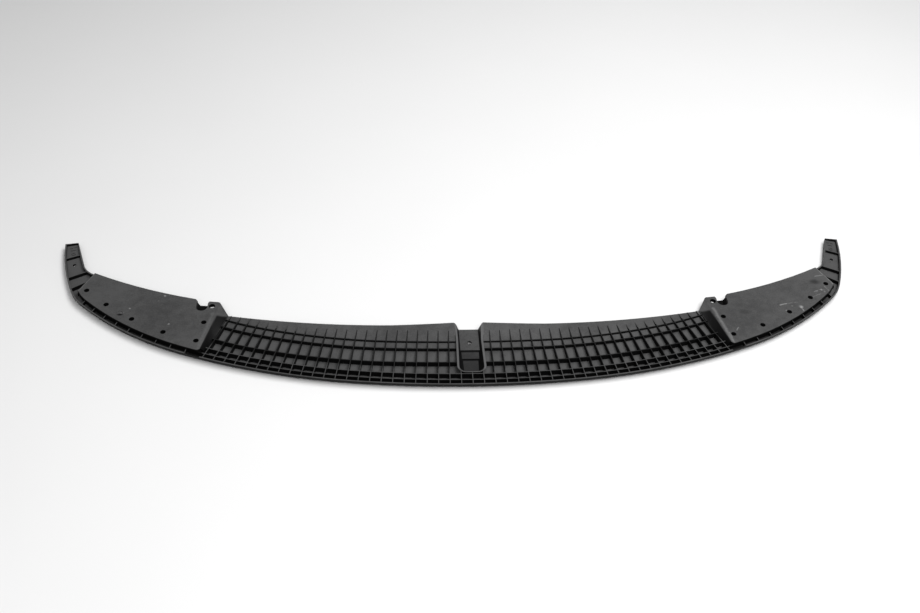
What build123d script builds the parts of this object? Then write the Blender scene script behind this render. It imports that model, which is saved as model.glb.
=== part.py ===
from build123d import *
import math
import os

# Front splitter lip: one injection-moulded blade, lying with its smooth road
# side down and its ribbed side up. X is across the car, Y runs rearward,
# Z is up. All lengths in millimetres.

# ---- driving dimensions -------------------------------------------------
# plan shape of the outer edge: tangent arcs, (radius, heading at its end)
EDGE_Y0 = -14.1                       # centre of the front edge
EDGE = [(2035.0, 6.09), (1284.0, 21.62), (641.7, 43.94), (121.0, 64.04), (400.6, 68.52), (545.8, 82.09)]
# the rear long ribs follow a slightly flatter curve of their own
RIB_Y0 = -14.3
RIB_EDGE = [(3240.0, 2.55), (1327.0, 14.34), (822.0, 43.5)]

SKIN = 2.8                            # moulded wall thickness
RIB = 1.4                             # rib thickness
WALL_F = 2.8                          # front wall thickness
NOSE_R = 14.0                         # rounding under the front edge
TOP = 15.0                            # height of rib tops and front wall
PAD_TOP = 19.0                        # height of the two end pads
GROOVE_Z = 6.5                        # floor of the groove before them

RISE_D = 32.5                         # where the blade starts to rise
RISE_R = 376.0                        # radius of that rise
RISE_END = 122.5                      # where the rise turns straight
BLADE_D = 176.0                       # blade depth before the rear trim

L_REAR = [113.0, 93.8, 57.6]          # long ribs, distance behind the rib curve
L_FRONT = [27.4, 12.4]                # and behind the edge itself
T_BASE = 15.0                         # cross ribs are spaced along the rib curve, this far back
T_COUNT = 24                          # cross ribs each side of the centre one
T_PITCH = 21.3                        # spacing there
T_FAN_1, T_FAN_2 = 0.0265, 2.9e-5     # fan angle (deg) = F1*x + F2*x*x
T_TAIL, T_TAIL_END, T_TAIL_GAP = 95.0, 124.0, 15.0   # a cross rib's top climbs from here, to run out into the flange here, this far off its edge

PAD_EDGE_R = 1.6                      # rounding of the pad's top edges
PAD_RAMP_R = 5.0                      # rounding where a pad rolls into its ramp
PAD_D = 12.0                          # pad front wall behind the outer edge
PAD_FRONT_X = 513.5                   # pad front inner corner
PAD_FRONT_X1 = 773.5                  # pad front outer corner
PAD_CORNER = 8.0                      # length rounded off at the pad's front inner corner
GROOVE_RIBS = 9                       # short ribs in the groove before a pad
PAD_HOLE_R = 5.25
PAD_BOSS_R, PAD_BOSS = 8.2, 10.0       # boss under each pad hole: radius, and depth from the pad's top
PAD_HOLES = [(756, 251.5), (710, 209.5), (653.5, 167.5), (588, 130.5), (522.5, 106), (514, 156)]
TAB_HOLE, TAB_HOLE_R, TAB_COLLAR_R, TAB_DEPTH = (503.8, 201.9), 6.0, 8.4, 8.0
RECESS_X, RECESS_Y, RECESS_R = 523.5, 200.0, 11.0
RECESS_FLOOR = (3.4, 8.2)             # its floor climbs to the rear: height at its front and rear end
RECESS_SLOPE = 3.0 / 13.0             # the recess narrows by this towards its floor
PIN_MARK, PIN_MARK_R, PIN_MARK_DEPTH = (-679.5, 184.0), 6.2, 0.5   # ejector mark, one pad only

HORN_TOP = 14.0
HORN_FLOOR_0, HORN_FLOOR_1 = 4.0, 9.0      # tray floor at its two ends
HORN_Y0, HORN_Y1 = 255.0, 405.0
HORN_HOLE, HORN_HOLE_R = (801.5, 342.5), 3.5
HORN_WALL = 3.2
HORN_S0, BAND_S1 = 838.0, 863.0       # along the edge: where the horn starts and the front band ends
TIP_RING, TIP_RING_R = (810.6, 376.6), (4.2, 2.3)    # plain moulded ring in the tip cell
TIP_BARS = [((812.6, 388.6), 10.0, 2.4), ((818.4, 394.4), 5.0, 2.4), ((810.6, 397.4), 4.4, 2.6)]   # and bars: centre, length, width
TIP_MARK_H = 1.0

CH_Z = 4.4                            # centre channel: half inside widths hold at this height
CH_HALF_F, CH_FLARE_F = 14.9, 0.759   # half width at its front, and how its walls lean out there
CH_HALF_R, CH_FLARE_R = 17.7, 0.331   # the same at the rear edge
CH_HALF_TOP = 23.6                    # half width where the walls reach the flange
CH_WALL = 4.0
CH_FRONT, CH_TURN = 20.0, 144.9        # front end, and where its corners reach the rear edge
CH_CORNER = 9.0
CH_CORNER_REAR = 10.5
CH_END = 137.4                        # rear end of its floor
CH_FLOORS = [(8.6, 80.4), (5.8, 60.0), (3.2, 0.0)]   # floor height, front limit
CH_HOLE_Y, CH_HOLE_R = 101.0, 4.25

# ---- outer edge curve ---------------------------------------------------
def arcs_along(y0, table):
    """Tangent arcs as (centre, radius, heading0, heading1, s0, s1)."""
    segs, p, h, s = [], (0.0, y0), 0.0, 0.0
    for r, h1d in table:
        h1 = math.radians(h1d)
        c = (p[0] - r * math.sin(h), p[1] + r * math.cos(h))
        segs.append((c, r, h, h1, s, s + r * (h1 - h)))
        p = (c[0] + r * math.sin(h1), c[1] - r * math.cos(h1))
        s += r * (h1 - h)
        h = h1
    return segs


SEGS = arcs_along(EDGE_Y0, EDGE)
RIB_SEGS = arcs_along(RIB_Y0, RIB_EDGE)
S_END = SEGS[-1][5]


def edge_at(s, d=0.0, segs=SEGS):
    """Point at arc length s, moved d inward, and the heading there (rad)."""
    for c, r, h0, h1, s0, s1 in segs:
        if s <= s1 or s1 == segs[-1][5]:
            h = h0 + (s - s0) / r
            return (c[0] + (r - d) * math.sin(h), c[1] - (r - d) * math.cos(h)), h


def s_at_x(x, d=0.0):
    lo, hi = 0.0, S_END
    for _ in range(60):
        m = (lo + hi) / 2
        if edge_at(m, d)[0][0] < x:
            lo = m
        else:
            hi = m
    return (lo + hi) / 2


def edge_arcs(s0, s1, d, segs=SEGS):
    out = []
    for c, r, h0, h1, a, b in segs:
        lo, hi = max(a, s0), min(b, s1)
        if hi - lo < 1e-6:
            continue
        pts = [edge_at(min(max(t, a + 1e-9), b - 1e-9), d, segs)[0] for t in (lo, (lo + hi) / 2, hi)]
        out.append(pts)
    return out


def outline(points_or_arcs, z=0.0):
    """Closed wire from a list of 2-D items: a point is a straight corner, a
    triple of points is an arc."""
    edges, first, last = [], None, None
    for it in points_or_arcs:
        arc = isinstance(it[0], tuple)
        start = it[0] if arc else it
        if first is None:
            first = start
        if last is not None and math.dist(last, start) > 1e-4:
            edges.append(Edge.make_line((*last, z), (*start, z)))
        elif last is not None and arc:
            it = [last, it[1], it[2]]
        if arc:
            edges.append(Edge.make_three_point_arc(*[(*p, z) for p in it]))
            last = it[2]
        else:
            last = it
    if math.dist(last, first) > 1e-4:
        edges.append(Edge.make_line((*last, z), (*first, z)))
    return Wire(edges)


def loop(points_or_arcs):
    return Face(outline(points_or_arcs))


def strip(s0, s1, d0, d1, segs=SEGS):
    a = edge_arcs(s0, s1, d0, segs)
    b = [[q[2], q[1], q[0]] for q in reversed(edge_arcs(s0, s1, d1, segs))]
    return loop(a + b)


def prism(face, z0, z1):
    return Solid.extrude(face.moved(Location((0, 0, z0))), Vector(0, 0, z1 - z0))


def swept(section, s0, s1):
    """Revolve a (distance behind the edge, height) section along the edge."""
    parts = []
    for c, r, h0, h1, a, b in SEGS:
        lo, hi = max(a, s0), min(b, s1)
        if hi - lo < 1e-6:
            continue
        edges = []
        for it in section:
            pts = [(r - q[0], 0, q[1]) for q in it]
            edges.append(Edge.make_line(*pts) if len(pts) == 2 else Edge.make_three_point_arc(*pts))
        f = Face(Wire(edges))
        ang = math.degrees((hi - lo) / r)
        sol = Solid.revolve(f, ang, Axis.Z)
        start = math.degrees(h0 + (lo - a) / r) - 90
        parts.append(sol.rotate(Axis.Z, start).moved(Location((c[0], c[1], 0))))
    out = parts[0]
    for p in parts[1:]:
        out = out.fuse(p)
    return out


def fuse_all(items):
    return items[0].fuse(*items[1:])


# ---- sections -----------------------------------------------------------
def rise(d, off):
    """Height of the blade's top (off 0) or underside (off SKIN) at depth d."""
    rr = RISE_R + off
    if d <= RISE_D:
        return SKIN - off
    return SKIN + RISE_R - math.sqrt(rr * rr - (d - RISE_D) ** 2)


A_END = math.asin((RISE_END - RISE_D) / RISE_R)
T1 = (RISE_END, rise(RISE_END, 0))
B1 = (RISE_D + (RISE_R + SKIN) * math.sin(A_END), SKIN + RISE_R - (RISE_R + SKIN) * math.cos(A_END))
run = BLADE_D - RISE_END
T2 = (T1[0] + run, T1[1] + run * math.tan(A_END))
B2 = (B1[0] + run, B1[1] + run * math.tan(A_END))
TM = (RISE_D + RISE_R * math.sin(A_END / 2), SKIN + RISE_R * (1 - math.cos(A_END / 2)))
BM = (RISE_D + (RISE_R + SKIN) * math.sin(A_END / 2), SKIN + RISE_R - (RISE_R + SKIN) * math.cos(A_END / 2))
k = NOSE_R * (1 - math.sqrt(0.5))
NI = NOSE_R - WALL_F
ki = NOSE_R - NI * math.sqrt(0.5)
NOSE = [[(0, TOP), (0, NOSE_R)], [(0, NOSE_R), (k, k), (NOSE_R, 0)]]
NOSE_IN = [[(NOSE_R, SKIN), (ki, ki), (WALL_F, NOSE_R)], [(WALL_F, NOSE_R), (WALL_F, TOP)], [(WALL_F, TOP), (0, TOP)]]
BLADE = NOSE + [[(NOSE_R, 0), (RISE_D, 0)], [(RISE_D, 0), BM, B1], [B1, B2], [B2, T2], [T2, T1],
                [T1, TM, (RISE_D, SKIN)], [(RISE_D, SKIN), (NOSE_R, SKIN)]] + NOSE_IN
_a = math.asin((NOSE_R - GROOVE_Z) / NI)   # the groove before a pad has a flat floor
G_IN = (NOSE_R - NI * math.cos(_a), GROOVE_Z)
G_MID = (NOSE_R - NI * math.cos(_a / 2), NOSE_R - NI * math.sin(_a / 2))
BAND = NOSE + [[(NOSE_R, 0), (PAD_D + SKIN, 0)], [(PAD_D + SKIN, 0), (PAD_D + SKIN, GROOVE_Z)],
               [(PAD_D + SKIN, GROOVE_Z), G_IN], [G_IN, G_MID, (WALL_F, NOSE_R)]] + NOSE_IN[1:]
HI = 40.0


def hull_section(nose_r, deep=0.0):
    """Everything behind the outer face and above the underside, or deep inside them."""
    q = nose_r - (nose_r - deep) * math.sqrt(0.5)
    return [[(deep, HI), (deep, nose_r)], [(deep, nose_r), (q, q), (nose_r, deep)]]


# ribs are rooted half-way into the skin
ROOT = SKIN / 2
_r = RISE_R + SKIN - ROOT
R1 = (RISE_D + _r * math.sin(A_END), SKIN + RISE_R - _r * math.cos(A_END))
RM = (RISE_D + _r * math.sin(A_END / 2), SKIN + RISE_R - _r * math.cos(A_END / 2))
R2 = (R1[0] + run, R1[1] + run * math.tan(A_END))
ABOVE = hull_section(NOSE_R, ROOT) + [[(NOSE_R, ROOT), (RISE_D, ROOT)], [(RISE_D, ROOT), RM, R1], [R1, R2], [R2, (R2[0], HI)], [(R2[0], HI), (ROOT, HI)]]
ABOVE_BAND = hull_section(NOSE_R, ROOT) + [[(NOSE_R, ROOT), (40, ROOT)], [(40, ROOT), (40, HI)], [(40, HI), (ROOT, HI)]]
HORN_NOSE_R = 11.0
ABOVE_HORN = hull_section(HORN_NOSE_R) + [[(HORN_NOSE_R, 0), (58, 0)], [(58, 0), (58, HI)], [(58, HI), (0, HI)]]

S_BLADE = s_at_x(524.0)               # blade runs a little way under the pad
S_PAD0 = s_at_x(PAD_FRONT_X, PAD_D)
S_PAD1 = s_at_x(PAD_FRONT_X1, PAD_D)
PAD_OUT_FRONT = edge_at(S_PAD1, PAD_D)[0]

# ---- blade skin with its ribs -------------------------------------------
REAR_ARCS = [[(0, 145.0), (85, 141.3), (150, 140.3)], [(150, 140.3), (310, 151.5), (473, 179.2)]]   # the rear edge


def rear_y(x):
    """Roughly where the rear edge is."""
    (x0, y0), (x1, y1), (x2, y2) = REAR_ARCS[0] if x < 150 else REAR_ARCS[1]
    return (y0 * (x - x1) * (x - x2) / ((x0 - x1) * (x0 - x2)) + y1 * (x - x0) * (x - x2) / ((x1 - x0) * (x1 - x2))
            + y2 * (x - x0) * (x - x1) / ((x2 - x0) * (x2 - x1)))


skin = swept(BLADE, 0, S_BLADE)
ribs = [strip(0, S_BLADE, d - RIB / 2, d + RIB / 2, RIB_SEGS) for d in L_REAR]
ribs += [strip(0, S_BLADE, d - RIB / 2, d + RIB / 2) for d in L_FRONT]
grid = [prism(f, 0, TOP) for f in ribs]
cross = []
for i in range(0, T_COUNT + 1):
    target, acc = i * T_PITCH, 0.0
    for c, r, h0, h1, a, b in RIB_SEGS:
        seg = (r - T_BASE) * (h1 - h0)
        if acc + seg >= target:
            cross.append(a + (target - acc) / (r - T_BASE) * r)
            break
        acc += seg
for s in cross:
    (x, y), h = edge_at(s, T_BASE, RIB_SEGS)
    fan = math.radians(T_FAN_1 * x + T_FAN_2 * x * x)
    u = (-math.sin(fan), math.cos(fan))
    n = (u[1], -u[0])
    t = 90.0
    while y + t * u[1] < rear_y(x + t * u[0]):
        t += 0.5
    end = min(T_TAIL_END, t - T_TAIL_GAP)
    if x > 30 and end > T_TAIL + 17:
        slope = (T1[1] + (T_BASE + end - RISE_END) * math.tan(A_END) - TOP) / (end - T_TAIL)
        top = [(end + 4, TOP + (end + 4 - T_TAIL) * slope), (T_TAIL, TOP)]
    else:
        top = [(128.0, TOP)]
    side = [(-13.6, 0), (top[0][0], 0)] + top + [(-13.6, TOP)]
    wire = Wire.make_polygon([Vector(x + e * u[0] - n[0] * RIB / 2, y + e * u[1] - n[1] * RIB / 2, z) for e, z in side], close=True)
    grid.append(Solid.extrude(Face(wire), Vector(n[0] * RIB, n[1] * RIB, 0)))
grid = fuse_all(grid).intersect(swept(ABOVE, 0, S_BLADE + 8)).solid()
grid = grid.cut(Solid.make_box(60, 400, 60).moved(Location((-60, -100, -10))))
# the ribs end at the foot of the sloping wall under each pad
FOOT_R, FOOT_F = (470.0, 178.4), (506.0, 81.0)
grid = grid.cut(prism(loop([(FOOT_R[0] + 0.6, FOOT_R[1] + 0.6), (FOOT_F[0] + 0.8, FOOT_F[1]), edge_at(s_at_x(511.0), 16.5)[0],
                            (540, 80), (560, 230), (480, 230)]), -10, 60))
blade = skin.fuse(*grid.solids())

# ---- rear edge: two arcs, bowed forward like the front ------------------
rear_cut = prism(loop(REAR_ARCS + [(500, 260), (0, 260)]), -10, 60)
blade = blade.cut(rear_cut)
# its skin runs a little way under that wall
blade = blade.cut(prism(loop([(FOOT_R[0] + 4, FOOT_R[1] + 3), (FOOT_F[0] + 3.5, FOOT_F[1]), edge_at(s_at_x(512.0), 16.0)[0],
                              (540, 80), (560, 230), (480, 230)]), -10, 60))

# ---- front band, groove and its short ribs ------------------------------
S_BAND0 = s_at_x(508.0)
S_BAND1 = BAND_S1
band = swept(BAND, S_BAND0, S_BAND1)
body = [band]
above_band = swept(ABOVE_BAND, S_BAND0, S_BAND1)
S_G0, S_G1 = s_at_x(540.0, 8), s_at_x(757.0, 8)
for i in range(GROOVE_RIBS):
    s = S_G0 + (S_G1 - S_G0) * i / (GROOVE_RIBS - 1)
    (x, y), h = edge_at(s, 8)
    a = h * 0.55
    u, n = (-math.sin(a), math.cos(a)), (math.cos(a), math.sin(a))
    q = [(x + u[0] * e + n[0] * w, y + u[1] * e + n[1] * w) for e, w in ((-8, -RIB / 2), (-8, RIB / 2), (10, RIB / 2), (10, -RIB / 2))]
    body.append(prism(loop(q), 0, TOP - 0.5).intersect(prism(strip(s - 30, s + 30, 1.4, PAD_D + 1.4), 0, 30)).solid().intersect(above_band).solid())

# ---- end pad: a 3 mm skin on a front wall, an outer wall and a ramp ------
TAB_IN = (488.0, 209.5)
PAD_REAR = [(750.0, 303.5), (645.0, 256.5), (541.5, 223.8)]
front_arc = edge_arcs(S_PAD0, S_PAD1, PAD_D)
P_IN_F = edge_at(S_PAD0, PAD_D)[0]
pad_face = loop(front_arc + [PAD_OUT_FRONT, PAD_REAR, (508.4, 215.1), [(494.0, 213.4), (490.4, 212.2), TAB_IN]])
pad = prism(pad_face, 1.0, PAD_TOP)


def ruled(a, b):
    """Straight-sided solid between two quadrilaterals."""
    wa = Wire.make_polygon([Vector(*p) for p in a], close=True)
    wb = Wire.make_polygon([Vector(*p) for p in b], close=True)
    return Solid.make_loft([wa, wb], ruled=True)


tab_in = TAB_IN
ramp = ruled([(*tab_in, PAD_TOP), (FOOT_R[0], FOOT_R[1], 14.2), (FOOT_R[0], FOOT_R[1], -3), (*tab_in, -3)],
             [(*P_IN_F, PAD_TOP), (*FOOT_F, 3.0), (*FOOT_F, -3), (*P_IN_F, -3)])
pad = pad.fuse(ramp).solid()
# the front inner corner of the pad is rounded in plan
_l = math.dist(P_IN_F, TAB_IN)
TOP_U = ((TAB_IN[0] - P_IN_F[0]) / _l, (TAB_IN[1] - P_IN_F[1]) / _l)
C_1, C_H = edge_at(S_PAD0 + PAD_CORNER, PAD_D)
C_2 = (P_IN_F[0] + PAD_CORNER * TOP_U[0], P_IN_F[1] + PAD_CORNER * TOP_U[1])
_turn = math.acos(-math.cos(C_H) * TOP_U[0] - math.sin(C_H) * TOP_U[1])
C_R = PAD_CORNER / math.tan(_turn / 2)
C_C = (C_2[0] + C_R * TOP_U[1], C_2[1] - C_R * TOP_U[0])
_l = math.dist(P_IN_F, C_C)
C_M = (C_C[0] + C_R * (P_IN_F[0] - C_C[0]) / _l, C_C[1] + C_R * (P_IN_F[1] - C_C[1]) / _l)
print("pad corner radius", C_R)
pad = pad.cut(prism(loop([[C_1, C_M, C_2], (495.0, C_2[1] + 2.0), (495.0, 55.0), (C_1[0] + 0.4, 55.0)]), -10, 60)).solid()
top_edges = [e for e in pad.edges() if abs(e.center().Z - PAD_TOP) < 1e-3]
pad = pad.fillet(PAD_EDGE_R, [e for e in top_edges if e.center().Y < 240 and e.center().X > 520 and e.length > 100])
_m = ((TAB_IN[0] + P_IN_F[0]) / 2, (TAB_IN[1] + P_IN_F[1]) / 2)
pad = pad.fillet(PAD_RAMP_R, [e for e in pad.edges() if abs(e.center().Z - PAD_TOP) < 1e-3 and math.dist((e.center().X, e.center().Y), _m) < 6])
print("pad", pad.volume, pad.is_valid)
cav_face = loop(edge_arcs(S_PAD0 + PAD_CORNER + 1, s_at_x(763.5, PAD_D + SKIN), PAD_D + SKIN)
                + [(767.0, 246.5), (PAD_REAR[0][0] - 2.9, PAD_REAR[0][1] - 1.0), (735, 335), (490, 245), (TAB_IN[0] + 1.5, TAB_IN[1] + 3)])
cav = prism(cav_face, -5, PAD_TOP - SKIN)
ramp_in = ruled([(tab_in[0] + 1.5, tab_in[1] + 3, PAD_TOP - SKIN), (FOOT_R[0] + 1.5, FOOT_R[1] + 3, 11.4), (FOOT_R[0] + 1.5, FOOT_R[1] + 3, -5), (tab_in[0] + 1.5, tab_in[1] + 3, -5)],
                [(C_2[0] + 2.1, C_2[1] + 2.9, PAD_TOP - SKIN), (FOOT_F[0] + 1.8, FOOT_F[1] + 4.2, -0.4), (FOOT_F[0] + 1.8, FOOT_F[1] + 4.2, -5), (C_2[0] + 2.1, C_2[1] + 2.9, -5)])

# half-round recess beside the tab: a small trough hung under the notch
def slot(wall, ends, z0, z1):
    """Half-round trough, open to the rear, that narrows downwards."""
    wires = []
    for z in (z0, z1):
        g = (z - PAD_TOP) * RECESS_SLOPE
        cx, r = RECESS_X + g, RECESS_R + g + wall
        bend = [(cx - r, RECESS_Y), (cx, RECESS_Y - r), (cx + r, RECESS_Y)]
        if ends:
            items = [(cx - r, ends[0]), bend, (cx + r, ends[1])]
        else:                          # open mouth with rounded lips
            items = [(cx - r - 5.0, 260.0), [(cx - r - 5.0, 217.2), (cx - r - 1.5, 214.0), (cx - r, 208.6)], bend,
                     [(cx + r, 215.2), (cx + r + 1.9, 221.0), (cx + r + 6.5, 225.0)], (cx + r + 6.5, 260.0)]
        wires.append(outline(items, z))
    return Solid.make_loft(wires, ruled=True)


def recess_wedge(drop):
    """Everything above the climbing floor, moved down by drop."""
    (z0, z1), y0, y1 = RECESS_FLOOR, 189.0, 216.0
    k = (z1 - z0) / (y1 - y0)
    f = Face(Wire.make_polygon([Vector(480, 170, z0 + k * (170 - y0) - drop), Vector(480, 270, z0 + k * (270 - y0) - drop),
                                Vector(480, 270, 60), Vector(480, 170, 60)], close=True))
    return Solid.extrude(f, Vector(80, 0, 0))


recess_out = slot(2.4, (213.6, 215.4), 0.0, PAD_TOP - 1).intersect(recess_wedge(SKIN)).solid()
recess_in = slot(0.0, None, 1.0, PAD_TOP + 5).intersect(recess_wedge(0.0)).solid()

# ---- horn: a shallow tray with cross ribs -------------------------------
S_H0 = HORN_S0
outer = edge_arcs(S_H0, S_END, 0)
TIP_IN = (806.5, 409.0)
HORN_IN = [[TIP_IN, (793.0, 372.0), (780.5, 338.0)], [(780.5, 338.0), (771.0, 319.5), (754.5, 306.0)]]
horn_face = loop(outer + HORN_IN + [(748.5, 303.0), PAD_OUT_FRONT])
horn = prism(horn_face, 0, HORN_TOP).intersect(swept(ABOVE_HORN, S_H0 - 30, S_END)).solid()


def floor_z(y, drop=0.0):
    return HORN_FLOOR_0 + (HORN_FLOOR_1 - HORN_FLOOR_0) * (y - HORN_Y0) / (HORN_Y1 - HORN_Y0) - drop


def below_floor(drop, z_low=-20.0, y0=200.0, y1=460.0):
    f = Face(Wire.make_polygon([Vector(700, y0, z_low), Vector(700, y1, z_low), Vector(700, y1, floor_z(y1, drop)), Vector(700, y0, floor_z(y0, drop))], close=True))
    return Solid.extrude(f, Vector(200, 0, 0))


def inset(y_off=0):
    o = edge_arcs(S_H0, S_END - 2.8, HORN_WALL)
    w = HORN_WALL
    inn = [[(806.5 - 0.2, 409.0 - 3.2), (795.6, 371.2), (783.1, 337.0)], [(783.1, 337.0), (773.0, 317.4), (757.0, 303.8)]]
    return loop(o + inn + [(751.5, 300.5), (PAD_OUT_FRONT[0] + 0.5, PAD_OUT_FRONT[1] + 0.5)])


H_RIBS = [((820.0, 356.0), (797.0, 366.5)), ((802.0, 297.0), (771.0, 314.5)), ((789.5, 265.0), (757.0, 289.0))]
tray = prism(inset(), 0, HORN_TOP + 5)
tray = tray.cut(below_floor(0.0))
for a, b in H_RIBS:
    ux, uy = b[0] - a[0], b[1] - a[1]
    ln = math.hypot(ux, uy)
    ux, uy = ux / ln, uy / ln
    nx, ny = -uy, ux
    q = [(a[0] - 8 * ux + nx, a[1] - 8 * uy + ny), (b[0] + 8 * ux + nx, b[1] + 8 * uy + ny),
         (b[0] + 8 * ux - nx, b[1] + 8 * uy - ny), (a[0] - 8 * ux - nx, a[1] - 8 * uy - ny)]
    tray = tray.cut(prism(loop(q), -5, HORN_TOP - 0.6))
horn = horn.cut(below_floor(SKIN))
print("horn", horn.volume)
marks = [prism(Face(Wire.make_circle(TIP_RING_R[0])).moved(Location((*TIP_RING, 0))), 6.4, floor_z(TIP_RING[1]) + TIP_MARK_H)
         .cut(prism(Face(Wire.make_circle(TIP_RING_R[1])).moved(Location((*TIP_RING, 0))), 0, 30)
              .cut(below_floor(0.0)))]
for (x, y), ln, w in TIP_BARS:
    u, n = (math.cos(-0.36), math.sin(-0.36)), (math.sin(0.36), math.cos(0.36))
    q = [(x + u[0] * e * ln / 2 + n[0] * f * w / 2, y + u[1] * e * ln / 2 + n[1] * f * w / 2) for e, f in ((-1, -1), (1, -1), (1, 1), (-1, 1))]
    marks.append(prism(loop(q), 7.0, floor_z(y) + TIP_MARK_H))

# ---- put the half together ----------------------------------------------
half = blade.fuse(*body, pad, horn)
half = half.cut(Solid.make_box(2000, 1000, 20).moved(Location((-100, -200, -20))))
half = half.cut(cav, ramp_in, tray)
half = half.fuse(*marks)
half = half.fuse(recess_out, Solid.make_cylinder(TAB_COLLAR_R, TAB_DEPTH - 0.6).moved(Location((*TAB_HOLE, PAD_TOP - TAB_DEPTH))))
half = half.fuse(*[Solid.make_cylinder(PAD_BOSS_R, PAD_BOSS - 0.6).moved(Location((x, y, PAD_TOP - PAD_BOSS))) for x, y in PAD_HOLES])
half = half.cut(recess_in)
for x, y in PAD_HOLES:
    half = half.cut(Solid.make_cylinder(PAD_HOLE_R, 60).moved(Location((x, y, -20))))
half = half.cut(Solid.make_cylinder(TAB_HOLE_R, 60).moved(Location((*TAB_HOLE, -20))))
half = half.cut(Solid.make_cylinder(HORN_HOLE_R, 60).moved(Location((*HORN_HOLE, -20))))
print("half", half.volume, len(half.solids()), half.is_valid)
half = half.solid()

# ---- centre channel ------------------------------------------------------
def trough_solid(wall, z0, z1, rear):
    """U-shaped in plan, open to the rear, with walls that lean outwards."""
    ends = []
    for z in (z0, z1):
        g = z - CH_Z
        hf, hr = CH_HALF_F + CH_FLARE_F * g + wall, CH_HALF_R + CH_FLARE_R * g + wall
        front, r = CH_FRONT + 2.0 - 0.3 * g - min(wall, 2.6), CH_CORNER + 0.35 * g + wall
        h = hf + (hr - hf) * (rear - CH_FRONT) / (CH_TURN - CH_FRONT)
        e = r * (1 - math.sqrt(0.5))
        ends.append(outline([(-h, rear), [(-hf, front + r), (-hf + e, front + e), (-hf + r, front)],
                             [(hf - r, front), (hf - e, front + e), (hf, front + r)], (h, rear)], z))
    return Solid.make_loft(ends, ruled=True)


whole = half.fuse(half.mirror(Plane.YZ))
trough = trough_solid(CH_WALL, 0.0, 30.0, 146.0)
roof = Solid.extrude(Face(Wire.make_polygon([Vector(-60, 0, TOP + 1), Vector(-60, 104, TOP + 1), Vector(-60, 150, 23.4), Vector(-60, 150, 60), Vector(-60, 0, 60)], close=True)), Vector(120, 0, 0))
rear_limit = prism(loop([(-60, 145.0), (60, 145.0), (60, 300), (-60, 300)]), -10, 60)
trough = trough.cut(roof, rear_limit)
print("trough", trough.volume, trough.is_valid)
under, inside = [], []
y1 = 200.0
for z, y0 in CH_FLOORS:
    y0u = max(y0 + SKIN, CH_FRONT - CH_WALL)   # each step down has a wall of its own
    under.append(Solid.make_box(50, y1 + SKIN - y0u, 40).moved(Location((-25, y0u, z - SKIN - 40))))
    inside.append(Solid.make_box(100, y1 - y0, 60).moved(Location((-50, y0, z))))
    y1 = y0
u_in = trough_solid(0.0, 2.0, 30.0, 200.0)
cut_in = [u_in.intersect(b).solid() for b in inside]
whole = whole.cut(trough_solid(1.2, -1.0, 30.0, 200.0)).fuse(trough)
whole = whole.cut(*cut_in)
whole = whole.cut(*under)
whole = whole.cut(Solid.make_cylinder(CH_HOLE_R, 60).moved(Location((0, CH_HOLE_Y, -20))))
# the channel ends before the rear edge, which turns into it with rounded corners
cr = CH_CORNER_REAR
ax, ay, q = CH_HALF_TOP + cr, CH_TURN - cr, cr * math.sqrt(0.5)
whole = whole.cut(prism(loop([[(CH_HALF_TOP, ay), (ax - q, ay + q), (ax, ay + cr)], (ax, 150), (-ax, 150),
                              [(-ax, ay + cr), (-ax + q, ay + q), (-CH_HALF_TOP, ay)],
                              (-CH_HALF_TOP, CH_END), (CH_HALF_TOP, CH_END)]), -20, 60))
# ejector mark
whole = whole.cut(Solid.make_cylinder(PIN_MARK_R, 10).moved(Location((*PIN_MARK, PAD_TOP - PIN_MARK_DEPTH))))
print("whole", whole.volume, len(whole.solids()), whole.is_valid, len(whole.faces()))
lip = whole.solid()
bb = lip.bounding_box()
lip = lip.moved(Location((0, -(bb.min.Y + bb.max.Y) / 2, -bb.min.Z)))
bb = lip.bounding_box()
print("box", bb.min, bb.max)

os.makedirs("parts", exist_ok=True)
export_step(lip, "parts/splitter_lip.step")
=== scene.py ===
"""Looks of the front splitter lip: finish, stage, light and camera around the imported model."""
import math

import bpy
from mathutils import Matrix, Vector

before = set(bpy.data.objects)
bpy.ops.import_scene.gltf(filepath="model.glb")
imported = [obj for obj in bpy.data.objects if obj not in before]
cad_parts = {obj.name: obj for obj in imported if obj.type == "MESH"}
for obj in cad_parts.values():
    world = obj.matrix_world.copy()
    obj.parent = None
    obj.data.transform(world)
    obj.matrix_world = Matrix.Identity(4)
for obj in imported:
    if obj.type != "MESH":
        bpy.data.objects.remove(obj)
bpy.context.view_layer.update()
scene = bpy.context.scene
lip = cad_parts["splitter_lip"]

# ---------------------------------------------------------------- camera
LENS = 40.0                               # on a 36 mm wide sensor
CAM_EL, CAM_YAW, CAM_ROLL = 0.7504916, -0.0907470, 0.0515841
CAM_DIST = 2.0714581
TARGET = Vector((-0.0117807, 0.0173605, 0.0))

back = Vector((math.sin(CAM_YAW) * math.cos(CAM_EL), -math.cos(CAM_YAW) * math.cos(CAM_EL), math.sin(CAM_EL)))
right = (-back).cross(Vector((0, 0, 1))).normalized()
up = right.cross(-back)
r2 = math.cos(CAM_ROLL) * right + math.sin(CAM_ROLL) * up
u2 = -math.sin(CAM_ROLL) * right + math.cos(CAM_ROLL) * up
pos = TARGET + back * CAM_DIST
cam_data = bpy.data.cameras.new("camera")
cam_data.lens, cam_data.sensor_width, cam_data.sensor_fit = LENS, 36.0, "HORIZONTAL"
cam_data.clip_start, cam_data.clip_end = 0.05, 60.0
cam = bpy.data.objects.new("camera", cam_data)
cam.matrix_world = Matrix(((r2.x, u2.x, back.x, pos.x), (r2.y, u2.y, back.y, pos.y),
                           (r2.z, u2.z, back.z, pos.z), (0, 0, 0, 1)))
scene.collection.objects.link(cam)
scene.camera = cam


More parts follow.
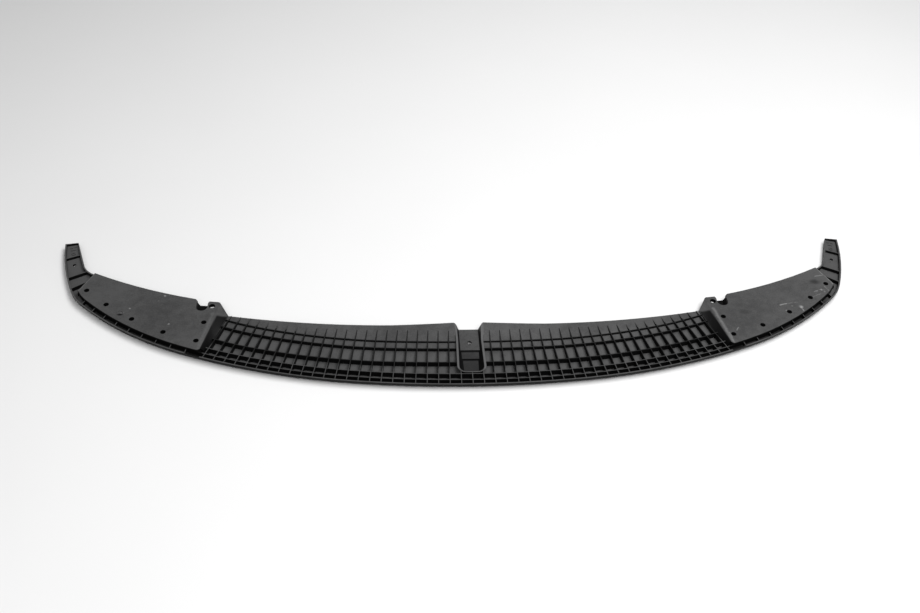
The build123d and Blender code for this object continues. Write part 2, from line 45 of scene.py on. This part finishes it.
# ---------------------------------------------------------------- node helpers
class Mat:
    """A small wrapper to write node trees in one line each."""

    def __init__(self, name):
        self.m = bpy.data.materials.new(name)
        self.m.use_nodes = True
        self.t = self.m.node_tree
        self.t.nodes.clear()

    def put(self, socket, value):
        if isinstance(value, bpy.types.NodeSocket):
            self.t.links.new(value, socket)
        else:
            socket.default_value = value

    def node(self, kind, ins=None, **props):
        n = self.t.nodes.new(kind)
        for k, v in props.items():
            setattr(n, k, v)
        for k, v in (ins or {}).items():
            self.put(n.inputs[k], v)
        return n

    def math(self, op, a, b=0.0, c=0.0, clamp=False):
        return self.node("ShaderNodeMath", {0: a, 1: b, 2: c}, operation=op, use_clamp=clamp).outputs[0]

    def vec(self, op, a, b=(0, 0, 0)):
        return self.node("ShaderNodeVectorMath", {0: a, 1: b}, operation=op)

    def noise(self, co, scale, detail=2.0, rough=0.5, distort=0.0):
        return self.node("ShaderNodeTexNoise", {"Vector": co, "Scale": scale, "Detail": detail,
                                                "Roughness": rough, "Distortion": distort}).outputs[0]

    def ramp(self, value, lo, hi, out_lo=0.0, out_hi=1.0):
        return self.node("ShaderNodeMapRange", {"Value": value, "From Min": lo, "From Max": hi,
                                                "To Min": out_lo, "To Max": out_hi},
                         interpolation_type="SMOOTHSTEP").outputs[0]

    def mix(self, fac, a, b):
        n = self.node("ShaderNodeMix", data_type="RGBA", blend_type="MIX")
        self.put(n.inputs["Factor"], fac)
        self.put(n.inputs[6], a)
        self.put(n.inputs[7], b)
        return n.outputs[2]


# ---------------------------------------------------------------- moulded plastic
PAD_Z = 0.0186                            # marks on the pads only show above this height
# scratches, the last pair being a painted highlight along the inner edge of each pad: ends in mm, half width in mm,
# strength
SCRATCHES_AND_EDGE_HIGHLIGHT = [((639.2, -8.4), (654.5, -3.8), 1.7, 0.75), ((654.5, -3.8), (679.0, -0.4), 1.0, 0.5),
             ((750.8, 47.7), (756.0, 34.5), 1.0, 0.8), ((681.5, -12.0), (684.0, -26.0), 1.9, 0.6),
             ((740.0, 79.0), (757.0, 82.5), 1.8, 0.45), ((515.8, -86.0), (517.5, -108.0), 2.0, 0.35),
             ((531.0, -80.0), (536.5, -72.0), 1.5, 0.5), ((724.0, 31.0), (732.0, 35.0), 1.3, 0.5),
             ((736.0, 38.0), (747.0, 35.5), 1.4, 0.6), ((716.0, 15.0), (735.0, 25.0), 1.2, 0.4),
             ((751.0, 104.0), (772.0, 54.0), 1.3, 0.50), ((-751.0, 104.0), (-772.0, 54.0), 1.3, 0.30),
             # painted highlight along the inner edge of each pad, stronger on the right
             ((499.5, -16.0), (516.7, -110.7), 5.5, 0.26), ((-499.5, -16.0), (-516.7, -110.7), 5.5, 0.10)]
# light rubbed spots, and at (-677.6, -10.4) a painted highlight on the rim of the round mark on the left pad: centre
# in mm, radius in mm, strength
SPOTS_AND_DENT_HIGHLIGHT = [((682.3, -14.2), 6.0, 1.0), ((664.4, -11.1), 2.6, 0.35), ((648.4, -24.6), 2.4, 0.45),
         ((729.7, 33.1), 3.2, 0.5), ((741.2, 37.0), 4.0, 0.6), ((745.4, 31.1), 3.0, 0.5), ((731.6, 23.0), 3.0, 0.4),
         ((-599.6, 36.6), 3.2, 0.75), ((-661.7, 1.2), 3.2, 0.75), ((-580.5, -43.8), 2.8, 0.7),
         ((-610.0, 22.0), 2.2, 0.25), ((-672.0, -10.0), 2.0, 0.25), ((516.0, -107.0), 3.4, 0.45), ((-677.6, -10.4), 2.2, 0.45)]
# darker smudges, and at (-678.6, -15.9) painted shade inside the round mark on the left pad: centre in mm, half sizes
# in mm, strength
SMUDGES_AND_DENT_SHADE = [((733.7, 61.7), (17.0, 11.0), 0.85), ((560.3, -26.4), (20.0, 11.0), 0.35), ((-678.6, -15.9), (8.5, 4.2), 1.4)]
# bright specks elsewhere: place in mm, radius in mm, strength
SPECKS = [((31.4, -202.5, 15.0), 2.2, 0.8), ((-319.7, -89.3, 6.0), 2.4, 0.6), ((36.5, -203.0, 15.0), 1.2, 0.4)]


def plastic():
    m = Mat("moulded_black_plastic")
    co = m.node("ShaderNodeTexCoord").outputs["Object"]
    xyz = m.node("ShaderNodeSeparateXYZ", {0: co})
    flat = m.node("ShaderNodeCombineXYZ", {0: xyz.outputs[0], 1: xyz.outputs[1]}).outputs[0]

    cloud = m.noise(co, 9.0, 4.0, 0.55)                # slow change of tone over the length
    mottle = m.noise(co, 60.0, 5.0, 0.6)               # handling marks, palm sized to thumb sized
    speck = m.noise(co, 380.0, 3.0, 0.65)              # flow mottle of the resin
    grain = m.noise(co, 900.0, 3.0, 0.6)               # moulded grain
    fine = m.noise(co, 2600.0, 2.0, 0.5)               # dust-sized sparkle
    rub = m.noise(co, 260.0, 4.0, 0.7)                 # breaks the scratches up
    warp = m.vec("SCALE", m.vec("SUBTRACT", m.node("ShaderNodeTexNoise", {"Vector": co, "Scale": 120.0}).outputs[1],
                                (0.5, 0.5, 0.5)).outputs[0])
    warp.inputs["Scale"].default_value = 0.004
    bent = m.vec("ADD", flat, warp.outputs[0]).outputs[0]

    # marks gather scratches, rubbed spots and specks, plus the painted highlights on the pads' inner edges and on the
    # round mark
    marks_and_highlights = None
    for (x0, y0), (x1, y1), w, k in SCRATCHES_AND_EDGE_HIGHLIGHT:
        length = math.hypot(x1 - x0, y1 - y0) / 1000
        way = ((x1 - x0) / 1000 / length, (y1 - y0) / 1000 / length, 0.0)
        rel = m.vec("SUBTRACT", bent, (x0 / 1000, y0 / 1000, 0.0)).outputs[0]
        along = m.math("MINIMUM", m.math("MAXIMUM", m.vec("DOT_PRODUCT", rel, way).outputs[1], 0.0), length)
        foot = m.vec("SCALE", way)
        m.put(foot.inputs["Scale"], along)
        gap = m.vec("LENGTH", m.vec("SUBTRACT", rel, foot.outputs[0]).outputs[0]).outputs[1]
        one = m.ramp(gap, 0.0, w / 1000, k, 0.0)
        marks_and_highlights = one if marks_and_highlights is None else m.math("MAXIMUM", marks_and_highlights, one)
    for (x, y), r, k in SPOTS_AND_DENT_HIGHLIGHT:
        gap = m.vec("DISTANCE", bent, (x / 1000, y / 1000, 0.0)).outputs[1]
        marks_and_highlights = m.math("MAXIMUM", marks_and_highlights, m.ramp(gap, 0.0, r / 1000, k, 0.0))
    # smudges, plus the painted shade inside the round mark
    smudge_and_dent_shade = None
    for (x, y), (rx, ry), k in SMUDGES_AND_DENT_SHADE:
        rel = m.vec("SUBTRACT", bent, (x / 1000, y / 1000, 0.0)).outputs[0]
        gap = m.vec("LENGTH", m.vec("MULTIPLY", rel, (1000 / rx, 1000 / ry, 0.0)).outputs[0]).outputs[1]
        one = m.ramp(gap, 0.15, 1.0, k, 0.0)
        smudge_and_dent_shade = one if smudge_and_dent_shade is None else m.math("MAXIMUM", smudge_and_dent_shade, one)
    on_pad = m.ramp(xyz.outputs[2], PAD_Z - 0.0006, PAD_Z)
    marks_and_highlights = m.math("MULTIPLY", m.math("MULTIPLY", marks_and_highlights, on_pad), m.ramp(rub, 0.3, 0.6, 0.5, 1.0))
    smudge_and_dent_shade = m.math("MULTIPLY", smudge_and_dent_shade, m.ramp(xyz.outputs[2], PAD_Z - 0.0012, PAD_Z - 0.0004))
    for (x, y, z), r, k in SPECKS:
        gap = m.vec("DISTANCE", co, (x / 1000, y / 1000, z / 1000)).outputs[1]
        marks_and_highlights = m.math("MAXIMUM", marks_and_highlights, m.ramp(gap, 0.0, r / 1000, k, 0.0))

    # the floor of the centre channel has a coarser, duller finish, and painted shade makes it darker towards the front
    # where its walls stand deeper
    channel_shade_and_dull_finish = m.math("MULTIPLY", m.ramp(m.math("ABSOLUTE", xyz.outputs[0]), 0.0195, 0.0215, 1.0, 0.0),
                 m.math("MULTIPLY", m.ramp(xyz.outputs[2], 0.0082, 0.0088, 1.0, 0.0),
                        m.ramp(xyz.outputs[1], -0.045, -0.175, 0.35, 1.0)))
    # the floor of the notch beside each rear tab is rougher too, and painted near black as painted shade
    notch_shade_and_dull_finish = m.vec("DISTANCE", m.node("ShaderNodeCombineXYZ", {0: m.math("ABSOLUTE", xyz.outputs[0]), 1: xyz.outputs[1]}).outputs[0],
                  (0.5235, 0.0070, 0.0)).outputs[1]
    notch_shade_and_dull_finish = m.math("MULTIPLY", m.ramp(notch_shade_and_dull_finish, 0.014, 0.020, 1.0, 0.0), m.ramp(xyz.outputs[2], 0.0150, 0.0175, 1.0, 0.0))
    # painted shade: rib tops behind the first rows, and the rib tails on the rear band, are kept darker than the rest
    square = m.math("MULTIPLY", xyz.outputs[0], xyz.outputs[0])
    front = m.math("ADD", m.math("MULTIPLY", m.math("ADD", m.math("MULTIPLY", square, 0.217), 0.246), square), -0.2101)
    behind = m.math("SUBTRACT", xyz.outputs[1], front)
    rib_top_shade = m.math("MULTIPLY", m.math("MULTIPLY", m.ramp(xyz.outputs[2], 0.0142, 0.0147),
                                      m.ramp(xyz.outputs[2], 0.0153, 0.0158, 1.0, 0.0)),
                   m.math("MULTIPLY", m.math("MULTIPLY", m.ramp(behind, 0.034, 0.046), m.ramp(behind, 0.114, 0.119, 1.0, 0.0)),
                          m.ramp(m.math("ABSOLUTE", xyz.outputs[0]), 0.505, 0.520, 1.0, 0.0)))
    up = m.node("ShaderNodeSeparateXYZ", {0: m.node("ShaderNodeNewGeometry").outputs["Normal"]}).outputs[2]
    rib_tail_shade = m.math("MULTIPLY", m.math("MULTIPLY", m.ramp(up, 0.978, 0.984), m.ramp(xyz.outputs[2], 0.0150, 0.0152)),
                   m.math("MULTIPLY", m.ramp(behind, 0.100, 0.106),
                          m.math("MULTIPLY", m.ramp(m.math("ABSOLUTE", xyz.outputs[0]), 0.030, 0.034),
                                 m.ramp(m.math("ABSOLUTE", xyz.outputs[0]), 0.460, 0.468, 1.0, 0.0))))
    rib_top_shade = m.math("MAXIMUM", rib_top_shade, rib_tail_shade)
    # the top of the raised rim round the channel gets a lighter grey
    rim = m.math("MULTIPLY", m.math("MULTIPLY", m.ramp(xyz.outputs[2], 0.0152, 0.0157),
                                    m.ramp(m.math("ABSOLUTE", xyz.outputs[0]), 0.0285, 0.0295, 1.0, 0.0)),
                 m.math("MULTIPLY", m.ramp(xyz.outputs[1], -0.052, -0.046, 1.0, 0.0), m.ramp(xyz.outputs[1], -0.1755, -0.1670)))
    # painted shade: the sloping wall inside each pad, and the groove before it, are kept near black
    wide = m.math("ABSOLUTE", xyz.outputs[0])
    slope = m.vec("DOT_PRODUCT", m.vec("SUBTRACT", m.node("ShaderNodeCombineXYZ", {0: wide, 1: xyz.outputs[1]}).outputs[0],
                                       (0.4700, -0.0176, 0.0)).outputs[0], (0.9384, 0.3468, 0.0)).outputs[1]
    slope_groove_step_shade = m.math("MULTIPLY", m.math("MULTIPLY", m.ramp(slope, -0.0005, 0.0012), m.ramp(slope, 0.028, 0.034, 1.0, 0.0)),
                   m.math("MULTIPLY", m.ramp(xyz.outputs[2], 0.0172, 0.0189, 1.0, 0.0),
                          m.ramp(xyz.outputs[1], -0.0230, -0.0170, 1.0, 0.0)))
    # painted shade on the floor of the groove before each pad
    groove_shade = m.math("MULTIPLY", m.math("MULTIPLY", m.ramp(wide, 0.506, 0.516), m.ramp(wide, 0.725, 0.775, 1.0, 0.0)),
                    m.ramp(xyz.outputs[2], 0.0072, 0.0090, 1.0, 0.0))
    slope_groove_step_shade = m.math("MAXIMUM", slope_groove_step_shade, m.math("MULTIPLY", groove_shade, 0.8))
    # painted shadow lines at the two steps of the channel floor
    step_shadow = m.math("MINIMUM", m.math("ABSOLUTE", m.math("ADD", xyz.outputs[1], 0.1168)),
                  m.math("ABSOLUTE", m.math("ADD", xyz.outputs[1], 0.1372)))
    step_shadow = m.math("MULTIPLY", m.ramp(step_shadow, 0.0012, 0.0022, 1.0, 0.0), m.math("MINIMUM", m.math("MULTIPLY", channel_shade_and_dull_finish, 3.0), 1.0))
    # painted shade: the right half of the rear band is kept a little darker
    right_band_shade = m.math("MULTIPLY", m.ramp(behind, 0.112, 0.122), m.math("MULTIPLY", m.ramp(xyz.outputs[0], 0.05, 0.25),
                                                                  m.ramp(xyz.outputs[0], 0.45, 0.47, 1.0, 0.0)))
    slope_groove_step_shade = m.math("MAXIMUM", slope_groove_step_shade, m.math("MAXIMUM", m.math("MULTIPLY", step_shadow, 0.9), m.math("MULTIPLY", right_band_shade, 0.17)))
    tone = m.math("ADD", m.math("MULTIPLY", cloud, 0.35),
                  m.math("ADD", m.math("MULTIPLY", mottle, 0.3), m.math("MULTIPLY", speck, 0.35)))
    tone = m.math("ADD", tone, m.ramp(wide, 0.60, 0.80, 0.0, 0.09))
    # a faint lighter patch on the left hand flange, and painted light on the floors of the front rows
    patch = m.math("MULTIPLY", m.ramp(m.math("ABSOLUTE", m.math("ADD", xyz.outputs[0], 0.3047)), 0.009, 0.012, 1.0, 0.0),
                   m.ramp(m.math("ABSOLUTE", m.math("ADD", xyz.outputs[1], 0.0555)), 0.006, 0.009, 1.0, 0.0))
    front_floor_light = m.math("MULTIPLY", m.ramp(xyz.outputs[2], 0.0075, 0.0110, 1.0, 0.0), m.ramp(behind, 0.095, 0.075, 0.0, 1.0))
    front_floor_light = m.math("MULTIPLY", front_floor_light, m.math("MULTIPLY", m.ramp(wide, 0.500, 0.510, 1.0, 0.0), m.ramp(wide, 0.026, 0.030)))
    tone = m.math("ADD", tone, m.math("ADD", m.math("MULTIPLY", patch, 0.05), m.math("MULTIPLY", front_floor_light, 0.09)))
    # faces that look up get a lighter grey, partly fine dust and partly painted light on the lit tops; walls and
    # slopes are left near black as painted shade
    dust_and_top_light = m.math("MULTIPLY", m.ramp(up, 0.80, 0.955), m.math("SUBTRACT", 1.0, m.math("MULTIPLY", channel_shade_and_dull_finish, 0.66)))
    dust_and_top_light = m.math("MULTIPLY", dust_and_top_light, m.math("SUBTRACT", 1.0, m.math("MULTIPLY", rib_top_shade, 0.8)))
    dust_and_top_light = m.math("MULTIPLY", dust_and_top_light, m.math("SUBTRACT", 1.0, slope_groove_step_shade))
    grey = m.mix(m.ramp(tone, 0.37, 0.63), (0.0420, 0.0420, 0.0423, 1), (0.0690, 0.0690, 0.0693, 1))
    grey = m.mix(m.math("MULTIPLY", rim, 0.6), grey, (0.1100, 0.1100, 0.1110, 1))
    base = m.mix(dust_and_top_light, (0.0032, 0.0032, 0.0033, 1), grey)
    # darker smudges, plus painted shade in the round mark and on the notch floors
    base = m.mix(m.math("MAXIMUM", m.math("MULTIPLY", smudge_and_dent_shade, 0.7), notch_shade_and_dull_finish), base, (0.0015, 0.0015, 0.0015, 1))
    # lighter marks: scratches, rubbed spots and specks, plus painted highlights
    base = m.mix(m.math("MULTIPLY", marks_and_highlights, 0.8), base, (0.38, 0.38, 0.38, 1))
    rough = m.ramp(tone, 0.35, 0.65, 0.54, 0.44)
    rough = m.math("ADD", rough, m.math("MULTIPLY", m.math("SUBTRACT", grain, 0.5), 0.10))
    rough = m.math("ADD", rough, m.math("MULTIPLY", smudge_and_dent_shade, 0.25))
    rough = m.math("ADD", rough, m.math("ADD", m.math("MULTIPLY", channel_shade_and_dull_finish, 0.22), m.math("MULTIPLY", notch_shade_and_dull_finish, 0.35)))

    height = m.math("ADD", m.math("MULTIPLY", grain, 0.6),
                    m.math("ADD", m.math("MULTIPLY", fine, 0.2), m.math("MULTIPLY", speck, 0.5)))
    edge = m.node("ShaderNodeBevel", {"Radius": 0.0007}, samples=6)
    bump = m.node("ShaderNodeBump", {"Strength": 0.30, "Distance": 0.0003, "Height": height,
                                     "Normal": edge.outputs[0]})
    bsdf = m.node("ShaderNodeBsdfPrincipled", {"Base Color": base, "Roughness": rough,
                                               "Normal": bump.outputs[0]})
    bsdf.inputs["Specular IOR Level"].default_value = 0.09
    m.node("ShaderNodeOutputMaterial", {"Surface": bsdf.outputs[0]})
    return m.m


lip.data.materials.clear()
lip.data.materials.append(plastic())


# ---------------------------------------------------------------- stage
def floor_material():
    m = Mat("pale_floor")
    co = m.node("ShaderNodeTexCoord").outputs["Object"]
    tone = m.noise(co, 3.0, 3.0, 0.5)
    base = m.mix(m.ramp(tone, 0.2, 0.8), (0.735, 0.735, 0.735, 1), (0.745, 0.745, 0.745, 1))
    bsdf = m.node("ShaderNodeBsdfPrincipled", {"Base Color": base, "Roughness": 0.9})
    bsdf.inputs["Specular IOR Level"].default_value = 0.1
    m.node("ShaderNodeOutputMaterial", {"Surface": bsdf.outputs[0]})
    return m.m


S = 40.0
mesh = bpy.data.meshes.new("floor")
mesh.from_pydata([(-S, -S, 0), (S, -S, 0), (S, S, 0), (-S, S, 0)], [], [(0, 1, 2, 3)])
floor = bpy.data.objects.new("floor", mesh)
floor.location.z = -0.0002
scene.collection.objects.link(floor)
floor.data.materials.append(floor_material())


# ---------------------------------------------------------------- light
def soft_light(name, loc, aim, size, watts):
    d = bpy.data.lights.new(name, "AREA")
    d.shape, d.size, d.size_y, d.energy = "RECTANGLE", size[0], size[1], watts
    o = bpy.data.objects.new(name, d)
    o.location = loc
    o.rotation_mode = "QUATERNION"
    o.rotation_quaternion = (Vector(aim) - Vector(loc)).to_track_quat("-Z", "Y")
    scene.collection.objects.link(o)
    return o


soft_light("overhead", (1.15, 0.0, 2.95), (0.15, 0.0, 0.0), (2.8, 1.6), 104.0)
soft_light("front_top", (0.1, -2.2, 2.6), (0.0, 0.0, 0.0), (3.4, 1.6), 62.0)
soft_light("right_fill", (2.2, -2.2, 0.9), (0.2, 0.0, 0.0), (1.2, 1.0), 4.0)
world = bpy.data.worlds.new("studio")
world.use_nodes = True
world.node_tree.nodes["Background"].inputs[0].default_value = (1, 1, 1, 1)
world.node_tree.nodes["Background"].inputs[1].default_value = 0.22
scene.world = world
scene.view_settings.view_transform = "Standard"
